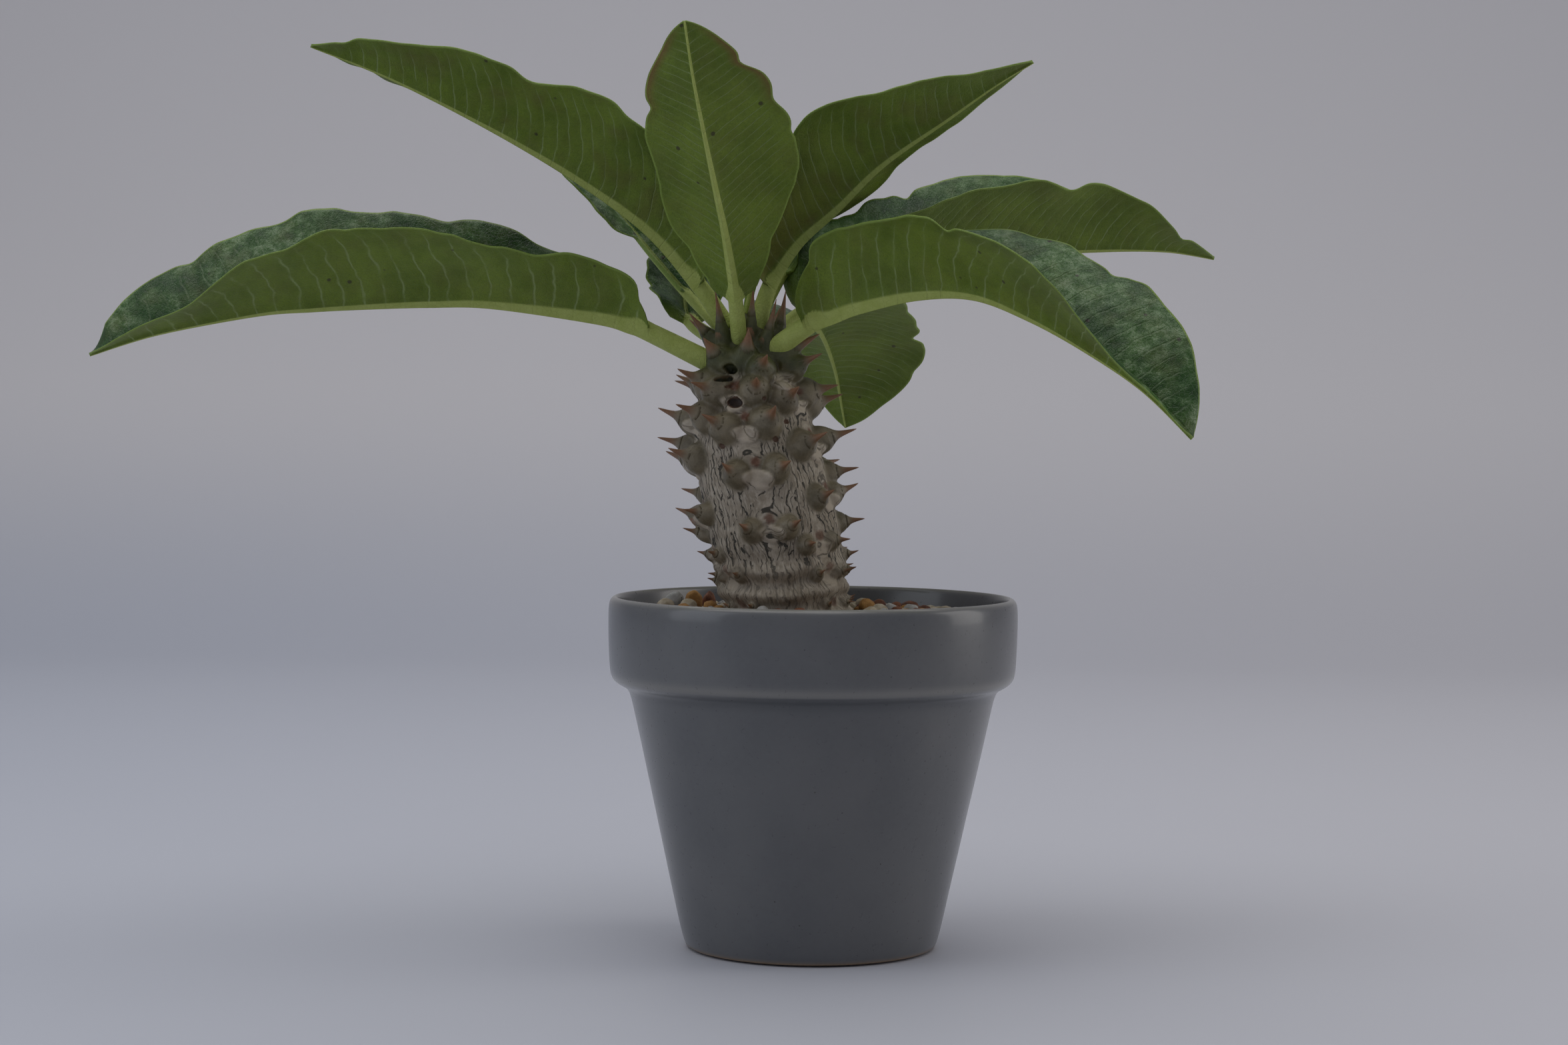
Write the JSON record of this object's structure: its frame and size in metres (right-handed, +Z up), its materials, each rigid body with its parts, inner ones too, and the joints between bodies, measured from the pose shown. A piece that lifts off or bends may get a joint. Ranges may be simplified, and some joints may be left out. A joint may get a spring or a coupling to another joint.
{
  "type": "potted pachypodium baronii",
  "caption": "Potted succulent: a swollen, paired-spined grey stem with a crown of folded green leaves, in a tapered round glazed pot with a rim band and a stone top dressing.",
  "frame": {"origin": "the middle of the pot's foot ring, on the plane that the pot stands on", "axes": "+Z up along the pot's axis; -Y is the front, +X is to the right seen from the front"},
  "size_m": [0.3049, 0.1694, 0.2423],
  "materials": {
    "glaze": "glossy",
    "mix": "coarse",
    "bark": "cracked bark",
    "leaf": "waxy",
    "young_leaf": "waxy",
    "pale_stone": "rough",
    "cream_stone": "rough",
    "ochre_stone": "rough",
    "brown_stone": "rough"
  },
  "bodies": {
    "root": {"pot": "glaze", "potting_mix": "mix", "stem": "bark", "leaf_left_low": "leaf", "leaf_left_high": "leaf", "leaf_front": "leaf", "leaf_right_high": "leaf", "leaf_right_near": "leaf", "leaf_right_far": "leaf", "leaf_back_right": "leaf", "leaf_back_left": "leaf", "leaf_back": "leaf", "leaf_back_high": "leaf", "young_leaf_front": "young_leaf", "young_leaf_back": "young_leaf", "stone_01": "pale_stone", "stone_02": "ochre_stone", "stone_03": "brown_stone", "stone_04": "cream_stone", "stone_05": "cream_stone", "stone_06": "brown_stone", "stone_07": "ochre_stone", "stone_08": "cream_stone", "stone_09": "pale_stone", "stone_10": "brown_stone", "stone_11": "cream_stone", "stone_12": "ochre_stone", "stone_13": "ochre_stone", "stone_14": "brown_stone", "stone_15": "cream_stone", "stone_16": "pale_stone", "stone_17": "ochre_stone", "stone_18": "cream_stone", "stone_19": "brown_stone", "stone_20": "brown_stone", "stone_21": "cream_stone", "stone_22": "ochre_stone", "stone_23": "pale_stone", "stone_24": "brown_stone"}
  },
  "joints": []
}
